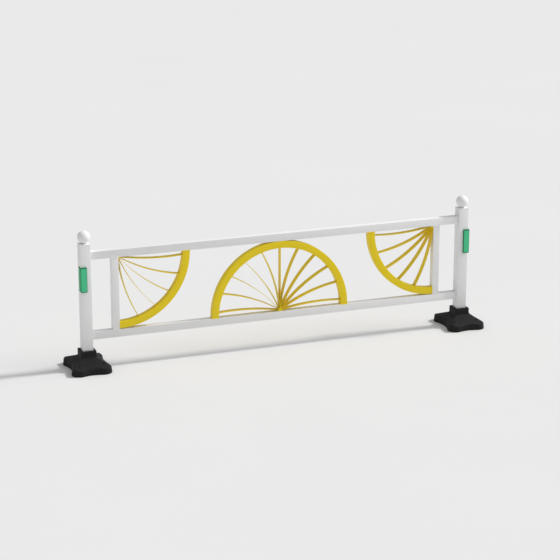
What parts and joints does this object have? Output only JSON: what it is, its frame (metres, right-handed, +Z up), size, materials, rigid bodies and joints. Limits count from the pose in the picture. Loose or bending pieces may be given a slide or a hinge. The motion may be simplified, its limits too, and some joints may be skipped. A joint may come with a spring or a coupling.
{
  "type": "crowd control barrier",
  "caption": "Decorative street barrier: white two-rail panel with yellow wheel motifs between ball-topped posts that stand in black rubber feet.",
  "frame": {"origin": "on the ground, midway between the posts and in the plane of the panel", "axes": "+X along the barrier, +Y across it and away from the reflectors' faces, +Z up"},
  "size_m": [3.39, 0.384, 1.072],
  "materials": {
    "white_paint": "satin white powder coat",
    "yellow_paint": "satin yellow powder coat",
    "green_housing": "moulded green plastic",
    "green_lens": "ribbed reflective lens",
    "green_side_lens": "ribbed reflective lens, deeper green",
    "black_rubber": "moulded black rubber",
    "zinc_steel": "zinc plated",
    "plug_plastic": "moulded black plastic"
  },
  "bodies": {
    "panel_frame": {"left_post": "white_paint", "left_post_cap": "white_paint", "left_ball_finial": "white_paint", "left_post_foot_plug": "plug_plastic", "left_stile": "white_paint", "left_reflector_housing": "green_housing", "left_reflector_front_lens": "green_lens", "left_reflector_side_lens": "green_side_lens", "left_ring": "yellow_paint", "left_hub": "yellow_paint", "left_spoke_1": "yellow_paint", "left_spoke_2": "yellow_paint", "left_spoke_3": "yellow_paint", "left_spoke_4": "yellow_paint", "left_spoke_5": "yellow_paint", "bottom_left_spigot": "zinc_steel", "top_left_spigot": "zinc_steel", "right_post": "white_paint", "right_post_cap": "white_paint", "right_ball_finial": "white_paint", "right_post_foot_plug": "plug_plastic", "right_stile": "white_paint", "right_reflector_housing": "green_housing", "right_reflector_front_lens": "green_lens", "right_reflector_side_lens": "green_side_lens", "right_ring": "yellow_paint", "right_hub": "yellow_paint", "right_spoke_1": "yellow_paint", "right_spoke_2": "yellow_paint", "right_spoke_3": "yellow_paint", "right_spoke_4": "yellow_paint", "right_spoke_5": "yellow_paint", "bottom_right_spigot": "zinc_steel", "top_right_spigot": "zinc_steel", "bottom_rail": "white_paint", "top_rail": "white_paint", "rail_screws": "zinc_steel", "finial_studs": "zinc_steel", "reflector_rivets": "zinc_steel", "centre_ring": "yellow_paint", "centre_hub": "yellow_paint", "centre_spoke_01": "yellow_paint", "centre_spoke_02": "yellow_paint", "centre_spoke_03": "yellow_paint", "centre_spoke_04": "yellow_paint", "centre_spoke_05": "yellow_paint", "centre_spoke_06": "yellow_paint", "centre_spoke_07": "yellow_paint", "centre_spoke_08": "yellow_paint", "centre_spoke_09": "yellow_paint", "centre_spoke_10": "yellow_paint", "centre_spoke_11": "yellow_paint"},
    "left_base": {"left_base": "black_rubber"},
    "right_base": {"right_base": "black_rubber"}
  },
  "joints": [
    {"name": "panel_lift", "type": "slide", "parent": "left_base", "child": "panel_frame", "axis": [0, 0, 1], "range_m": [0, 0.2]},
    {"name": "right_base_release", "type": "slide", "parent": "panel_frame", "child": "right_base", "axis": [0, 0, -1], "range_m": [0, 0.2]}
  ],
  "couplings": [
    {"joint": "right_base_release", "follows": "panel_lift", "ratio": 1}
  ]
}
